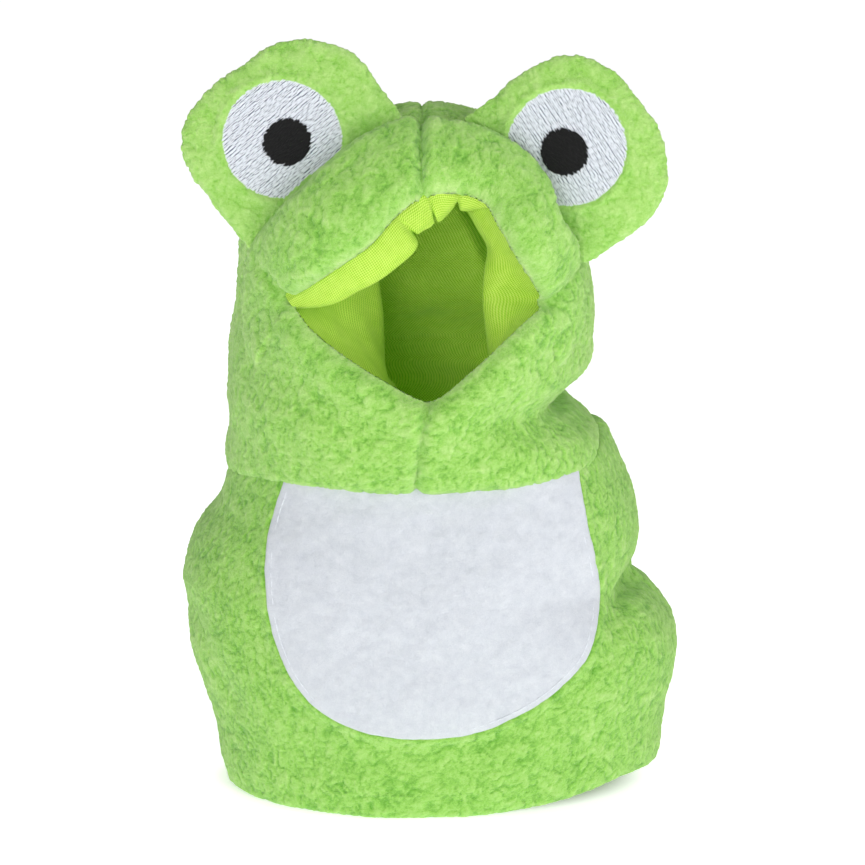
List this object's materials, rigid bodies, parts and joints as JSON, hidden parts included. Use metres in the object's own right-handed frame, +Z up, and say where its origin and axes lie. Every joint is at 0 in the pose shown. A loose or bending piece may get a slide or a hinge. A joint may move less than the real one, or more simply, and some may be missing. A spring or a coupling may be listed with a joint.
{
  "type": "hand puppet",
  "caption": "Fleece frog hand puppet: an open-ended lined body sleeve with a felt belly patch, under a lined hood with a face opening and two padded embroidered eyes.",
  "frame": {"origin": "middle of the hem's footprint, on the surface that the puppet stands on", "axes": "+Z up through the neck to the top of the hood, the face and belly look along -Y, +X to the viewer's right"},
  "size_m": [0.135, 0.0912, 0.2055],
  "materials": {
    "green_fleece": "curly pile fleece, bright green",
    "lime_lining": "plain woven polyester lining, yellow-green, slight sheen",
    "white_felt": "brushed white felt",
    "white_thread": "white embroidery thread, silky",
    "black_thread": "black embroidery thread, silky",
    "green_thread": "green sewing thread",
    "fibre_fill": "white polyester fibre fill"
  },
  "bodies": {
    "sleeve": {"body_front_panel": "green_fleece", "body_back_panel": "green_fleece", "body_lining_front": "lime_lining", "body_lining_back": "lime_lining", "hem_facing": "green_fleece", "hem_stitching": "green_thread", "belly_patch": "white_felt", "belly_patch_stitching": "white_thread"},
    "neck": {"neck_seam_binding": "lime_lining"},
    "hood": {"hood_left_panel": "green_fleece", "hood_right_panel": "green_fleece", "brow_band_left": "green_fleece", "brow_band_right": "green_fleece", "hood_lining_left": "lime_lining", "hood_lining_right": "lime_lining"},
    "left_eye": {"eye_left_front": "green_fleece", "eye_left_back": "green_fleece", "eye_left_stuffing": "fibre_fill", "eye_left_white": "white_thread", "eye_left_pupil": "black_thread"},
    "right_eye": {"eye_right_front": "green_fleece", "eye_right_back": "green_fleece", "eye_right_stuffing": "fibre_fill", "eye_right_white": "white_thread", "eye_right_pupil": "black_thread"}
  },
  "joints": [
    {"name": "neck_turn", "type": "hinge", "parent": "sleeve", "child": "neck", "pos_m": [0, 0, 0.09], "axis": [0, 0, 1], "range_deg": [-15, 15], "stiffness_Nm_per_rad": 0.05},
    {"name": "neck_nod", "type": "hinge", "parent": "neck", "child": "hood", "pos_m": [0, 0, 0.09], "axis": [1, 0, 0], "range_deg": [-15, 20], "stiffness_Nm_per_rad": 0.4},
    {"name": "left_eye_flop", "type": "hinge", "parent": "hood", "child": "left_eye", "pos_m": [-0.03, -0.024, 0.1717], "axis": [0.7547, 0, 0.6561], "range_deg": [-35, 10], "stiffness_Nm_per_rad": 0.01},
    {"name": "right_eye_flop", "type": "hinge", "parent": "hood", "child": "right_eye", "pos_m": [0.0291, -0.024, 0.1725], "axis": [0.6428, 0, -0.766], "range_deg": [-35, 10], "stiffness_Nm_per_rad": 0.01}
  ]
}
